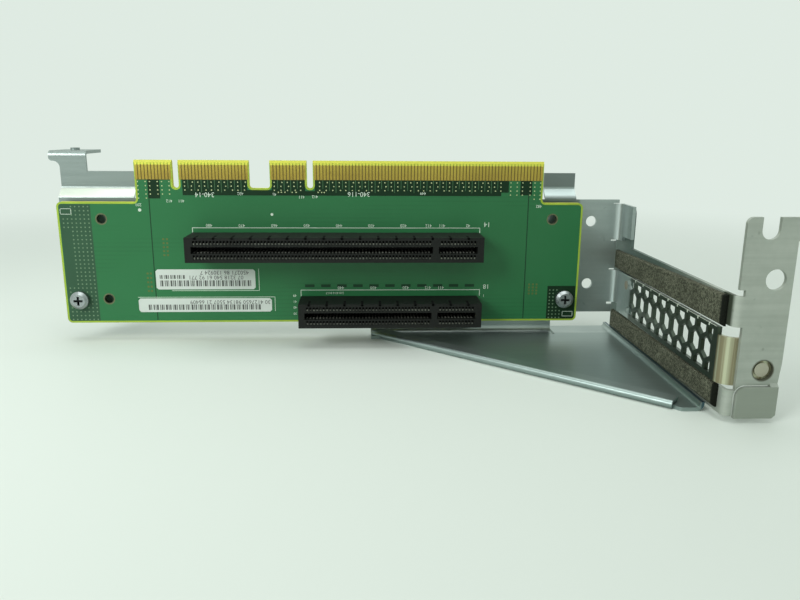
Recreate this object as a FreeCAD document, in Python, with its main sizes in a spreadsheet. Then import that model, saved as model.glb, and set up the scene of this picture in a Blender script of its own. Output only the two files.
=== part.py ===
import FreeCAD, Part
import math
import os
import re
import Sketcher

# PCI Express riser card on its folded bracket, in millimetres.
# +X runs along the board to the input/output wall, -Y comes out of the slots
# and +Z is up. Heights and lengths in the sheet start at the board's lower
# left front corner; "frame_x", "frame_y" and "frame_z" move the whole object.

SIZES = [
    ("frame_x", -93.7, "middle of the object"),
    ("frame_y", 24.0, "middle of the object"),
    ("frame_z", 6.0, "rest surface"),
    # board
    ("board_long", 162.0, ""),
    ("board_high", 38.0, ""),
    ("board_thick", 1.57, ""),
    ("board_round", 1.5, ""),
    ("tongue_top", 50.65, ""),
    ("tongue_floor", 42.3, "bottom of the notches"),
    ("tongue_round", 1.0, ""),
    ("bevel_high", 0.7, ""),
    ("bevel_deep", 0.35, ""),
    ("notch_wide", 1.9, ""),
    ("tongue_gap", 6.3, "between the two tongues"),
    ("tongue_margin", 13.0, "right of the tongues"),
    ("hole_a_x", 13.1, ""),
    ("hole_a_z", 32.8, ""),
    ("hole_b_x", 13.35, ""),
    ("hole_b_z", 7.7, ""),
    ("hole_c_inset", 9.5, "from the right edge"),
    ("hole_c_z", 32.9, ""),
    ("tooling_bore", 2.8, ""),
    # edge fingers
    ("pitch", 1.0, "contact pitch"),
    ("finger_wide", 0.7, ""),
    ("finger_thick", 0.05, ""),
    ("finger_low", 44.9, ""),
    ("finger_inset", 0.6, "first centre line from the side"),
    ("short_count", 11.0, "contacts in the short part"),
    ("long_count_x16", 71.0, ""),
    ("long_count_x4", 21.0, ""),
    ("long_count_x8", 38.0, ""),
    # slots
    ("slot_margin_x16", 32.6, "right of the slot"),
    ("slot_mid_x16", 24.95, ""),
    ("slot_margin_x8", 32.7, ""),
    ("slot_mid_x8", 4.63, ""),
    ("slot_high", 7.5, ""),
    ("slot_deep", 11.25, ""),
    ("mouth_high", 2.1, ""),
    ("mouth_deep", 7.8, ""),
    ("mouth_start", 1.875, "end wall"),
    ("mouth_spare", 0.55, "room at the ends of a card tab"),
    ("key_wide", 1.75, "rib between the two mouths"),
    ("cell_wide", 0.6, "contact cavity"),
    ("cell_high", 1.4, ""),
    ("cell_deep", 4.2, "at the top of its sloped floor"),
    ("cell_off", 2.15, "cavity row from the middle"),
    ("contact_wide", 0.4, ""),
    ("contact_low", 0.1, "share of the sloped floor"),
    ("contact_top", 0.46, "share of the sloped floor"),
    # screws and standoffs
    ("screw_left_x", 4.55, ""),
    ("screw_left_z", 7.5, ""),
    ("screw_right_inset", 4.4, "from the right edge"),
    ("screw_right_z", 7.3, ""),
    ("screw_head", 5.6, ""),
    ("screw_head_high", 2.2, ""),
    ("screw_bevel", 0.8, ""),
    ("screw_shank", 3.0, ""),
    ("cross_wide", 0.7, ""),
    ("cross_long", 2.8, ""),
    ("cross_deep", 1.2, ""),
    ("standoff_wide", 5.0, "across the flats"),
    # labels
    ("label_thick", 0.1, ""),
    ("label_corner", 0.6, "cut off each corner"),
    ("label_a_x", 28.3, ""),
    ("label_a_z", 10.7, ""),
    ("label_a_long", 30.8, ""),
    ("label_a_high", 6.4, ""),
    ("label_b_x", 22.4, ""),
    ("label_b_z", 3.4, ""),
    ("label_b_long", 41.6, ""),
    ("label_b_high", 4.4, ""),
    # folded bracket
    ("sheet_thick", 1.0, ""),
    ("bend_in", 2.3, "inside radius"),
    ("bend_small", 0.6, "inside radius of the tight folds"),
    ("plate_y", 4.6, "front face of the back plate"),
    ("plate_left", -0.9, ""),
    ("plate_low", 1.75, ""),
    ("plate_short", 1.9, "plate's right edge from the wall"),
    ("plate_high", 38.7, "top of the right extension"),
    ("strip_short", 0.9, "from the board's right edge"),
    ("joggle_low", 39.1, ""),
    ("joggle_rise", 2.7, ""),
    ("joggle_deep", 3.0, ""),
    ("strip_top", 46.8, ""),
    ("socket_room", 2.1, "beside the tongues"),
    ("socket_floor", 38.7, "bottom of the cut behind the tongues"),
    ("ear_right", 7.2, ""),
    ("ear_top", 53.0, ""),
    ("ear_round", 1.0, ""),
    ("lobe_left", -4.1, ""),
    ("lobe_low", 49.9, ""),
    ("lobe_round", 2.0, ""),
    ("flange_far", 22.0, ""),
    ("collar_x", 1.2, ""),
    ("collar_y", 15.6, ""),
    ("collar_bore", 1.6, ""),
    ("collar_wide", 2.8, ""),
    ("collar_high", 0.7, ""),
    ("fixing_bore", 3.4, ""),
    ("fixing_inset", 10.7, "from the wall"),
    ("fixing_low", 11.3, ""),
    ("fixing_high", 31.75, ""),
    # folds on the right of the bracket
    ("wall_gap", 15.1, "board to the wall's inner face"),
    ("relief_deep", 0.5, "relief notches beside the folds"),
    ("relief_high", 0.4, ""),
    ("tab_low", 25.8, ""),
    ("tab_high", 37.4, ""),
    ("tab_near", -5.1, ""),
    ("band_low", 2.74, ""),
    ("band_fold", 5.1, ""),
    ("band_top", 15.95, ""),
    ("band_tab_top", 14.2, ""),
    ("band_tab_long", 10.9, "behind the end plate"),
    ("band_round", 3.6, "outside radius of the outward fold"),
    # honeycomb
    ("hex_wide", 4.8, "across the flats"),
    ("hex_pitch", 6.0, ""),
    ("hex_near", 2.17, "pattern's near margin"),
    ("hex_mid", 9.37, ""),
    ("hex_margin", 1.2, "above and below the pattern"),
    ("hex_count", 9.0, ""),
    # foot
    ("foot_long", 81.7, "from the wall"),
    ("foot_open", 22.2, "right of the foot's fold"),
    ("foot_z", -6.0, ""),
    ("hem_end", 8.7, "from the wall"),
    ("hem_wide", 4.7, ""),
    ("hem_gap", 0.2, ""),
    ("tip_long", 6.6, "from the wall"),
    ("tip_inset", 6.8, "behind the end plate"),
    ("tip_round", 1.2, ""),
    ("curb_top", -3.7, "turned-up edge"),
    ("curb_in", 0.9, ""),
    ("curb_far", 11.3, ""),
    # input/output wall and end plate
    ("wall_far", 10.5, ""),
    ("wall_low", -4.5, ""),
    ("wall_high", 24.2, ""),
    ("wall_ear_near", -3.2, ""),
    ("wall_ear_top", 37.1, ""),
    ("wall_ear_round", 2.5, ""),
    ("wall_round", 2.0, "outside radius of the corner"),
    ("end_y", -69.2, "front face of the end plate"),
    ("end_inset", 0.6, "left edge above the wall"),
    ("end_wide", 12.6, "from the wall"),
    ("lip_wide", 1.8, ""),
    ("end_lip_low", 36.8, ""),
    ("end_top", 42.1, ""),
    ("end_round", 1.5, ""),
    ("fork_inset", 4.0, "from the wall"),
    ("fork_wide", 4.2, ""),
    ("fork_floor", 37.1, ""),
    ("end_bore", 4.8, ""),
    ("end_bore_in", 8.6, "from the wall"),
    ("end_bore_z", 28.1, ""),
    ("window_low", 1.9, ""),
    ("window_high", 17.0, ""),
    ("window_far", -5.5, ""),
    ("window_wide", 2.25, "on the end plate"),
    ("notch_low", 23.9, ""),
    ("notch_high", 25.7, ""),
    ("pad_short", 0.45, "from the end plate's right edge"),
    ("pad_low", -4.8, ""),
    ("pad_high", 3.2, "upper edge of the gap round the pad"),
    ("pad_step", 0.8, ""),
    ("pad_round", 2.7, ""),
    ("pad_small_round", 0.8, ""),
    ("slit_wide", 0.3, "gap round the pad"),
    ("pad_joint", 1.9, "uncut part at the right"),
    # rivet
    ("rivet_in", 8.3, "from the wall"),
    ("rivet_z", 6.7, ""),
    ("rivet_shank", 3.0, ""),
    ("rivet_head", 3.4, ""),
    ("rivet_room", 4.8, "hole in the end plate"),
    ("rivet_high", 0.4, ""),
    # gaskets
    ("gasket_thick", 1.0, ""),
    ("gasket_far", 8.0, ""),
    ("gasket_inset", 3.2, "behind the end plate"),
    ("gasket_a_far_low", -4.4, "lower gasket"),
    ("gasket_a_far_high", 1.75, ""),
    ("gasket_a_near_low", -3.4, ""),
    ("gasket_a_near_high", 2.3, ""),
    ("gasket_b_far_low", 16.4, "upper gasket"),
    ("gasket_b_far_high", 22.0, ""),
    ("gasket_b_near_low", 17.3, ""),
    ("gasket_b_near_high", 23.9, ""),
]

# places worked out from the sizes
PLACES = {
    "tab_short": "(short_count - 1) * pitch + 2 * finger_inset",
    "tab_long_x16": "(long_count_x16 - 1) * pitch + 2 * finger_inset",
    "tab_long_x4": "(long_count_x4 - 1) * pitch + 2 * finger_inset",
    "tongue_x16": "board_long - tongue_margin - tab_long_x16 - notch_wide - tab_short",
    "tongue_x4": "tongue_x16 - tongue_gap - tab_long_x4 - notch_wide - tab_short",
    "mouth_short": "tab_short + mouth_spare",
    "mouth_long_x16": "tab_long_x16 + mouth_spare",
    "mouth_long_x8": "(long_count_x8 - 1) * pitch + 2 * finger_inset + mouth_spare",
    "slot_long_x16": "2 * mouth_start + mouth_long_x16 + key_wide + mouth_short",
    "slot_long_x8": "2 * mouth_start + mouth_long_x8 + key_wide + mouth_short",
    "slot_left_x16": "board_long - slot_margin_x16 - slot_long_x16",
    "slot_left_x8": "board_long - slot_margin_x8 - slot_long_x8",
    "hole_c_x": "board_long - hole_c_inset",
    "screw_right_x": "board_long - screw_right_inset",
    "strip_right": "board_long - strip_short",
    "wall_x": "board_long + wall_gap",
    "wall_back": "wall_x - sheet_thick",
    "bend_out": "bend_in + sheet_thick",
    "small_out": "bend_small + sheet_thick",
    "fold_x": "wall_x - bend_out",
    "relief_in": "fold_x - relief_deep",
    "plate_back": "plate_y + sheet_thick",
    "plate_right": "wall_x - plate_short",
    "fixing_x": "wall_x - fixing_inset",
    "strip_y": "plate_y + joggle_deep",
    "band_near": "end_y + sheet_thick + band_round",
    "band_tab_right": "wall_x + band_tab_long",
    "hex_start": "band_near + hex_near + (hex_count - 0.5) * hex_pitch",
    "foot_left": "wall_x - foot_long",
    "foot_fold_right": "wall_x - foot_open",
    "foot_top": "foot_z + sheet_thick",
    "hem_high": "2 * sheet_thick + hem_gap",
    "tip_near": "end_y + tip_inset",
    "tip_left": "wall_x - tip_long",
    "hem_end_x": "wall_x - hem_end",
    "hem_end_y": "tip_near + 1",
    "curb_right": "wall_x - sheet_thick",
    "end_back": "end_y + sheet_thick",
    "end_left": "wall_x + end_inset",
    "end_right": "wall_x + end_wide",
    "end_lip_right": "end_right + lip_wide",
    "fork_left": "wall_x + fork_inset",
    "fork_right": "fork_left + fork_wide",
    "end_bore_x": "wall_x + end_bore_in",
    "window_right": "wall_x + window_wide",
    "notch_right": "wall_x + wall_round",
    "pad_right": "end_right - pad_short",
    "rivet_x": "wall_x + rivet_in",
    "gasket_near": "end_y + gasket_inset",
}

NAMES = {row[0] for row in SIZES}

doc = FreeCAD.newDocument("riser")
sheet = doc.addObject("Spreadsheet::Sheet", "sizes")
for row, (word, number, note) in enumerate(SIZES, 1):
    sheet.set(f"A{row}", word)
    sheet.set(f"B{row}", str(number))
    sheet.set(f"C{row}", note)
    sheet.setAlias(f"B{row}", word)
doc.recompute()


def bound(words):
    """Turns size words and place words into references to the sheet."""
    def swap(found):
        word = found[0]
        if word in PLACES:
            return f"({bound(PLACES[word])})"
        return f"sizes.{word}" if word in NAMES else word

    return re.sub(r"[a-z]\w*", swap, words)


def amount(words):
    """The present value of an expression in size words."""
    value = sheet.evalExpression(bound(words))
    return float(getattr(value, "Value", value))


def origin(body, role):
    return next(item for item in body.Origin.OriginFeatures if item.Role == role)


def new_body(name):
    body = doc.addObject("PartDesign::Body", name)
    body.Label = name
    for axis in "xyz":
        body.setExpression(f"Placement.Base.{axis}", bound(f"frame_{axis}"))
    return body


def new_sketch(body, plane, level="0"):
    flat = body.newObject("Sketcher::SketchObject", f"{body.Name}_outline")
    flat.AttachmentSupport = [(origin(body, plane), "")]
    flat.MapMode = "FlatFace"
    flat.setExpression("AttachmentOffset.Base.z", bound(level))
    return flat


def hold_point(flat, item, end, x, y):
    """Ties one point of a sketch to two expressions."""
    for kind, words in (("DistanceX", x), ("DistanceY", y)):
        index = flat.addConstraint(Sketcher.Constraint(kind, -1, 1, item, end, amount(words)))
        flat.setExpression(f"Constraints[{index}]", bound(words))


def draw_circle(flat, x, y, wide):
    centre = FreeCAD.Vector(amount(x), amount(y), 0)
    up = FreeCAD.Vector(0, 0, 1)
    item = flat.addGeometry(Part.Circle(centre, up, amount(wide) / 2))
    hold_point(flat, item, 3, x, y)
    index = flat.addConstraint(Sketcher.Constraint("Diameter", item, amount(wide)))
    flat.setExpression(f"Constraints[{index}]", bound(wide))


def draw_loop(flat, corners):
    """A closed outline; a corner with a third word is rounded to that radius."""
    spots = [FreeCAD.Vector(amount(c[0]), amount(c[1]), 0) for c in corners]
    count = len(corners)
    starts = list(spots)
    ends = list(spots)
    arcs = {}
    for i, corner in enumerate(corners):
        if len(corner) < 3:
            continue
        radius = amount(corner[2])
        back = (spots[i - 1] - spots[i]).normalize()
        ahead = (spots[(i + 1) % count] - spots[i]).normalize()
        half = back.getAngle(ahead) / 2
        reach = radius / math.tan(half)
        ends[i] = spots[i] + back * reach
        starts[i] = spots[i] + ahead * reach
        centre = spots[i] + (back + ahead).normalize() * (radius / math.sin(half))
        turn = back.cross(ahead).z < 0
        first, last = (ends[i], starts[i]) if turn else (starts[i], ends[i])
        angles = [math.atan2(p.y - centre.y, p.x - centre.x) for p in (first, last)]
        circle = Part.Circle(centre, FreeCAD.Vector(0, 0, 1), radius)
        arcs[i] = (flat.addGeometry(Part.ArcOfCircle(circle, *angles)), turn)
    lines = []
    for i in range(count):
        after = (i + 1) % count
        lines.append(flat.addGeometry(Part.LineSegment(starts[i], ends[after])))
    for i, corner in enumerate(corners):
        before, after = lines[i - 1], lines[i]
        if i not in arcs:
            flat.addConstraint(Sketcher.Constraint("Coincident", before, 2, after, 1))
            hold_point(flat, after, 1, corner[0], corner[1])
            continue
        arc, turn = arcs[i]
        flat.addConstraint(Sketcher.Constraint("Tangent", before, 2, arc, 1 if turn else 2))
        flat.addConstraint(Sketcher.Constraint("Tangent", arc, 2 if turn else 1, after, 1))
        mark = flat.addGeometry(Part.Point(spots[i]), True)
        flat.addConstraint(Sketcher.Constraint("PointOnObject", mark, 1, before))
        flat.addConstraint(Sketcher.Constraint("PointOnObject", mark, 1, after))
        hold_point(flat, mark, 1, corner[0], corner[1])
        index = flat.addConstraint(Sketcher.Constraint("Radius", arc, amount(corner[2])))
        flat.setExpression(f"Constraints[{index}]", bound(corner[2]))


def box_loop(left, low, right, high, radius=None):
    corners = [(left, low), (right, low), (right, high), (left, high)]
    return [corner + ((radius,) if radius else ()) for corner in corners]


def shape_from(body, kind, flat, length, away=False):
    """Pads or pockets a finished sketch and keeps the result as the tip."""
    feature = body.newObject(f"PartDesign::{kind}", f"{body.Name}_{kind.lower()}")
    feature.Profile = flat
    feature.setExpression("Length", bound(length))
    feature.Reversed = away
    feature.Refine = True
    flat.Visibility = False
    doc.recompute()
    return feature


def grow(body, plane, level, corners, length, away=False):
    flat = new_sketch(body, plane, level)
    draw_loop(flat, corners)
    return shape_from(body, "Pad", flat, length, away)


def carve(body, plane, level, loops, length, away=False):
    flat = new_sketch(body, plane, level)
    for corners in loops:
        draw_loop(flat, corners)
    return shape_from(body, "Pocket", flat, length, away)


def repeat(body, feature, axis, step, count):
    """Repeats a feature along an axis; a leading minus in step turns it round."""
    row = body.newObject("PartDesign::LinearPattern", f"{body.Name}_row")
    row.Originals = [feature]
    row.Direction = (origin(body, axis), [""])
    row.Mode = "Spacing"
    row.Reversed = step.startswith("-")
    row.setExpression("Offset", bound(step.lstrip("-")))
    row.setExpression("Occurrences", bound(count))
    body.Tip = row
    doc.recompute()
    return row


FRONT = "XZ_Plane"
SIDE = "YZ_Plane"
FLOOR = "XY_Plane"

# board: one outline with both card tongues, then the bevelled edges
board = new_body("riser_board")
notch_round = "notch_wide * 0.47"
tongues = []
for start, long_tab in (("tongue_x16", "tab_long_x16"), ("tongue_x4", "tab_long_x4")):
    first = f"{start} + tab_short"
    second = f"{first} + notch_wide"
    tongues.append((start, first, second, f"{second} + {long_tab}"))
big, small = tongues
outline = [
    ("0", "0", "board_round"),
    ("board_long", "0", "board_round"),
    ("board_long", "board_high", "board_round"),
    (big[3], "board_high", "tongue_round"),
    (big[3], "tongue_top"),
    (big[2], "tongue_top"),
    (big[2], "tongue_floor", notch_round),
    (big[1], "tongue_floor", notch_round),
    (big[1], "tongue_top"),
    (big[0], "tongue_top"),
    (big[0], "tongue_floor", "tongue_round"),
    (small[3], "tongue_floor", "tongue_round"),
    (small[3], "tongue_top"),
    (small[2], "tongue_top"),
    (small[2], "tongue_floor", notch_round),
    (small[1], "tongue_floor", notch_round),
    (small[1], "tongue_top"),
    (small[0], "tongue_top"),
    (small[0], "board_high", "tongue_round"),
    ("0", "board_high", "board_round"),
]
flat = new_sketch(board, FRONT)
draw_loop(flat, outline)
for spot in "abc":
    draw_circle(flat, f"hole_{spot}_x", f"hole_{spot}_z", "tooling_bore")
for side in ("left", "right"):
    draw_circle(flat, f"screw_{side}_x", f"screw_{side}_z", "screw_shank")
shape_from(board, "Pad", flat, "board_thick", True)
bevel_low = "tongue_top - bevel_high"
bevels = [
    [("0", bevel_low), ("bevel_deep", "tongue_top"), ("0", "tongue_top")],
    [
        ("board_thick", bevel_low),
        ("board_thick", "tongue_top"),
        ("board_thick - bevel_deep", "tongue_top"),
    ],
]
carve(board, SIDE, "0", bevels, "board_long", True)


# fingers: a short and a long row of thin pads on each face of each tongue
def fingers(name, tongue, long_count, level, away):
    body = new_body(name)
    for start, count in ((tongue[0], "short_count"), (tongue[2], long_count)):
        left = f"{start} + finger_inset - finger_wide / 2"
        pad = box_loop(left, "finger_low", f"{left} + finger_wide", bevel_low)
        first = grow(body, FRONT, level, pad, "finger_thick", away)
        repeat(body, first, "X_Axis", "pitch", count)
    return body


fingers("fingers_x16_front", big, "long_count_x16", "0", False)
fingers("fingers_x16_back", big, "long_count_x16", "-board_thick", True)
fingers("fingers_x4_front", small, "long_count_x4", "0", False)
fingers("fingers_x4_back", small, "long_count_x4", "-board_thick", True)


def cell_side(row, low, top):
    """Side view of a cavity, or of the contact on a share of its sloped floor."""
    depth = [f"cell_deep * {share} - slot_deep" for share in (low, top)]
    height = [f"{row} - cell_high / 2 + cell_high * {share}" for share in (low, top)]
    return [(depth[0], height[0]), (depth[1], height[1]), (depth[0], height[1])]


# slot housing: block, two mouths with a key rib, contact cavities beside them
def slot(size):
    left, middle = f"slot_left_{size}", f"slot_mid_{size}"
    right = f"{left} + slot_long_{size}"
    body = new_body(f"slot_{size}")
    low, high = f"{middle} - slot_high / 2", f"{middle} + slot_high / 2"
    block = box_loop(left, low, right, high)
    grow(body, FRONT, "0", block, "slot_deep")
    long_end = f"{left} + mouth_start + mouth_long_{size}"
    short_start = f"{long_end} + key_wide"
    short_end = f"{short_start} + mouth_short"
    mouth_low, mouth_high = f"{middle} - mouth_high / 2", f"{middle} + mouth_high / 2"
    mouths = [
        box_loop(f"{left} + mouth_start", mouth_low, long_end, mouth_high),
        box_loop(short_start, mouth_low, short_end, mouth_high),
    ]
    carve(body, FRONT, "slot_deep", mouths, "mouth_deep")
    groups = (
        (f"{left} + mouth_start + mouth_spare / 2 + finger_inset", f"long_count_{size}"),
        (f"{short_start} + mouth_spare / 2 + finger_inset", "short_count"),
    )
    rows = {"upper": f"{middle} + cell_off", "lower": f"{middle} - cell_off"}
    for start, count in groups:
        cells = [cell_side(row, "0", "1") for row in rows.values()]
        first = carve(body, SIDE, f"{start} + cell_wide / 2", cells, "cell_wide")
        repeat(body, first, "X_Axis", "pitch", count)
    for place, row in rows.items():
        metal = new_body(f"slot_{size}_contacts_{place}")
        for start, count in groups:
            blade = cell_side(row, "contact_low", "contact_top")
            first = grow(metal, SIDE, f"{start} - contact_wide / 2", blade, "contact_wide")
            repeat(metal, first, "X_Axis", "pitch", count)


slot("x16")
slot("x8")

# pan-head screws through the board, hexagonal standoffs behind it
for side in ("left", "right"):
    x, z = f"screw_{side}_x", f"screw_{side}_z"
    screw = new_body(f"board_screw_{side}")
    flat = new_sketch(screw, FRONT, "0")
    draw_circle(flat, x, z, "screw_head")
    head = shape_from(screw, "Pad", flat, "screw_head_high")
    rims = []
    for index, edge in enumerate(head.Shape.Edges, 1):
        if edge.BoundBox.YMax < -amount("screw_head_high") + 0.01:
            rims.append(f"Edge{index}")
    bevel = screw.newObject("PartDesign::Chamfer", f"{screw.Name}_bevel")
    bevel.Base = (head, rims)
    bevel.setExpression("Size", bound("screw_bevel"))
    doc.recompute()
    arms = [
        box_loop(f"{x} - cross_long / 2", f"{z} - cross_wide / 2",
                 f"{x} + cross_long / 2", f"{z} + cross_wide / 2"),
        box_loop(f"{x} - cross_wide / 2", f"{z} - cross_long / 2",
                 f"{x} + cross_wide / 2", f"{z} + cross_long / 2"),
    ]
    for arm in arms:
        carve(screw, FRONT, "screw_head_high", [arm], "cross_deep")
    flat = new_sketch(screw, FRONT, "0")
    draw_circle(flat, x, z, "screw_shank")
    shape_from(screw, "Pad", flat, "board_thick", True)
    standoff = new_body(f"standoff_{side}")
    flat = new_sketch(standoff, FRONT, "-board_thick")
    corners = []
    for along, up in ((1, 0), (0.5, 1), (-0.5, 1), (-1, 0), (-0.5, -1), (0.5, -1)):
        corners.append((
            f"{x} + {along} * standoff_wide * 0.57735",
            f"{z} + {up} * standoff_wide / 2",
        ))
    draw_loop(flat, corners)
    shape_from(standoff, "Pad", flat, "plate_y - board_thick", True)

# labels
for name, key in (("label_part", "label_a"), ("label_serial", "label_b")):
    label = new_body(name)
    right, high = f"{key}_x + {key}_long", f"{key}_z + {key}_high"
    left, low, cut = f"{key}_x", f"{key}_z", "label_corner"
    sticker = [
        (left, f"{low} + {cut}"), (f"{left} + {cut}", low),
        (f"{right} - {cut}", low), (right, f"{low} + {cut}"),
        (right, f"{high} - {cut}"), (f"{right} - {cut}", high),
        (f"{left} + {cut}", high), (left, f"{high} - {cut}"),
    ]
    grow(label, FRONT, "0", sticker, "label_thick")

# folded bracket, one sheet: back plate first
bracket = new_body("main_bracket")
foot_fold = "foot_z + bend_out"
plate = [
    ("plate_left", "plate_low"),
    ("foot_left", "plate_low"),
    ("foot_left", foot_fold),
    ("foot_fold_right", foot_fold),
    ("foot_fold_right", "plate_low"),
    ("plate_right", "plate_low"),
    ("plate_right", "band_fold - 2 * relief_high"),
    ("relief_in", "band_fold - 2 * relief_high"),
    ("relief_in", "band_fold"),
    ("fold_x", "band_fold"),
    ("fold_x", "band_top"),
    ("relief_in", "band_top"),
    ("relief_in", "band_top + relief_high"),
    ("plate_right", "band_top + relief_high"),
    ("plate_right", "tab_low - relief_high"),
    ("relief_in", "tab_low - relief_high"),
    ("relief_in", "tab_low"),
    ("fold_x", "tab_low"),
    ("fold_x", "tab_high"),
    ("relief_in", "tab_high"),
    ("relief_in", "tab_high + relief_high / 2"),
    ("plate_right", "tab_high + relief_high / 2"),
    ("plate_right", "plate_high"),
    ("strip_right", "plate_high"),
    ("strip_right", "joggle_low - 0.2"),
    ("plate_left", "joggle_low - 0.2"),
]
flat = new_sketch(bracket, FRONT, "-plate_y")
draw_loop(flat, plate)
draw_circle(flat, "fixing_x", "fixing_low", "fixing_bore")
draw_circle(flat, "fixing_x", "fixing_high", "fixing_bore")
shape_from(bracket, "Pad", flat, "sheet_thick", True)

# joggle up to the upper strip; both faces stay one sheet thickness apart
slope = "sqrt(joggle_deep ^ 2 + joggle_rise ^ 2)"
lag = f"sheet_thick * ({slope} - joggle_rise) / joggle_deep"
joggle_top = "joggle_low + joggle_rise"
joggle = [
    ("plate_y", "joggle_low - 2 * joggle_rise"),
    ("plate_y", "joggle_low", "small_out"),
    ("strip_y", joggle_top, "bend_small"),
    ("strip_y", "strip_top"),
    ("strip_y + sheet_thick", "strip_top"),
    ("strip_y + sheet_thick", f"{joggle_top} - {lag}", "small_out"),
    ("plate_back", f"joggle_low - {lag}", "bend_small"),
    ("plate_back", "joggle_low - 2 * joggle_rise"),
]
grow(bracket, SIDE, "plate_left", joggle, "strip_right - plate_left")
sockets = box_loop("tongue_x4 - socket_room", "socket_floor",
                   "board_long - tongue_margin + socket_room", "strip_top + 1")
carve(bracket, FRONT, "-(plate_y - 1)", [sockets], "3 * joggle_deep")
corner = [
    ("strip_right - ear_round", "strip_top"),
    ("strip_right", "strip_top - ear_round"),
    ("strip_right", "strip_top"),
]
carve(bracket, FRONT, "-(strip_y + 2 * sheet_thick)", [corner], "3 * sheet_thick")

# ear with its lobe, folded back into the rear flange
ear_fold = "ear_top - small_out"
ear = [
    ("plate_left", "strip_top - ear_round"),
    ("ear_right + ear_round", "strip_top - ear_round"),
    ("ear_right + ear_round", "strip_top"),
    ("ear_right", "strip_top"),
    ("ear_right", ear_fold),
    ("lobe_left", ear_fold),
    ("lobe_left", "lobe_low", "ear_round"),
    ("plate_left", "lobe_low", "lobe_round"),
]
grow(bracket, FRONT, "-(strip_y)", ear, "sheet_thick", True)
roll = [
    ("strip_y", f"{ear_fold} - 0.01"),
    ("strip_y", "ear_top", "small_out"),
    ("strip_y + 3 * sheet_thick", "ear_top"),
    ("strip_y + 3 * sheet_thick", "ear_top - sheet_thick"),
    ("strip_y + sheet_thick", "ear_top - sheet_thick", "bend_small"),
    ("strip_y + sheet_thick", f"{ear_fold} - 0.01"),
]
grow(bracket, SIDE, "lobe_left", roll, "ear_right - lobe_left")
flange = [
    ("lobe_left", "strip_y + 2 * sheet_thick"),
    ("ear_right", "strip_y + 2 * sheet_thick"),
    ("ear_right", "flange_far", "ear_round"),
    ("lobe_left", "flange_far", "ear_round"),
]
grow(bracket, FLOOR, "ear_top - sheet_thick", flange, "sheet_thick")
for kind, wide, height in (("Pad", "collar_wide", "collar_high"), ("Pocket", "collar_bore", "4")):
    level = "ear_top" if kind == "Pad" else "ear_top + 2 * collar_high"
    flat = new_sketch(bracket, FLOOR, level)
    draw_circle(flat, "collar_x", "collar_y", wide)
    shape_from(bracket, kind, flat, height)

# side tab that backs the wall's ear
tab = [
    ("relief_in - sheet_thick", "plate_y"),
    ("wall_back", "plate_y", "bend_in"),
    ("wall_back", "tab_near"),
    ("wall_x", "tab_near"),
    ("wall_x", "plate_back", "bend_out"),
    ("relief_in - sheet_thick", "plate_back"),
]
grow(bracket, FLOOR, "tab_low", tab, "tab_high - tab_low")
tab_trim = [
    ("tab_near - 1", "tab_low - 1"),
    ("plate_y - bend_in", "tab_low - 1"),
    ("plate_y - bend_in", "tab_low"),
    ("plate_y - bend_in - relief_high", "tab_low + 1.4"),
    ("tab_near - 1", "tab_low + 1.4"),
]
carve(bracket, SIDE, "wall_x + 1", [tab_trim], "3 * sheet_thick")

# long band past the wall's window, from its fold to an outward fold
fold_y = "plate_y - bend_in"
fold = [
    ("relief_in - sheet_thick", "plate_y"),
    ("wall_back", "plate_y", "bend_in"),
    ("wall_back", f"{fold_y} - sheet_thick"),
    ("wall_x", f"{fold_y} - sheet_thick"),
    ("wall_x", "plate_back", "bend_out"),
    ("relief_in - sheet_thick", "plate_back"),
]
grow(bracket, FLOOR, "band_fold", fold, "band_top - band_fold")
band = [
    ("wall_back", fold_y),
    ("wall_back", "end_back", "band_round"),
    ("band_tab_right", "end_back"),
    ("band_tab_right", "end_back + sheet_thick"),
    ("wall_x", "end_back + sheet_thick", "band_round - sheet_thick"),
    ("wall_x", fold_y),
]
grow(bracket, FLOOR, "band_low", band, "band_top - band_low")
band_trim = box_loop("end_y", "band_tab_top", "band_near", "band_top + 1")
carve(bracket, SIDE, "band_tab_right + 1", [band_trim], "band_tab_right - relief_in")

# honeycomb: full hexagons in the middle row, cut ones above and below
half = "hex_wide / 2"
point = "hex_wide * 0.57735"
shoulder = "hex_wide * 0.288675"
row_step = "hex_pitch * 0.866025"
top_cut = "band_top - hex_margin"
low_cut = "band_low + hex_margin + 0.16"


def hex_end(centre, sign, cut):
    """A hexagon cut level near its middle, pointing down (-) or up (+)."""
    row = f"hex_mid {'+' if sign == '-' else '-'} {row_step}"
    return [
        (f"{centre} - {half}", cut),
        (f"{centre} + {half}", cut),
        (f"{centre} + {half}", f"{row} {sign} {shoulder}"),
        (centre, f"{row} {sign} {point}"),
        (f"{centre} - {half}", f"{row} {sign} {shoulder}"),
    ]


full = []
for side, tip in (("+", "+"), ("-", "-")):
    for y, z in ((f"hex_start {side} {half}", f"hex_mid {tip} {shoulder}"),
                 ("hex_start", f"hex_mid {tip} {point}"),
                 (f"hex_start {'-' if side == '+' else '+'} {half}", f"hex_mid {tip} {shoulder}")):
        full.append((y, z))
offset_row = "hex_start + hex_pitch / 2"
cells = [full, hex_end(offset_row, "-", top_cut), hex_end(offset_row, "+", low_cut)]
first = carve(bracket, SIDE, "wall_x + 1", cells, "3 * sheet_thick")
repeat(bracket, first, "Y_Axis", "-hex_pitch", "hex_count")
last = "hex_start + hex_pitch / 2 - hex_count * hex_pitch"
ends = []
for sign, cut in (("-", top_cut), ("+", low_cut)):
    row = f"hex_mid {'+' if sign == '-' else '-'} {row_step}"
    ends.append([
        (last, cut),
        (f"{last} + {half}", cut),
        (f"{last} + {half}", f"{row} {sign} {shoulder}"),
        (last, f"{row} {sign} {point}"),
    ])
carve(bracket, SIDE, "wall_x + 1", ends, "3 * sheet_thick")

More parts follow.
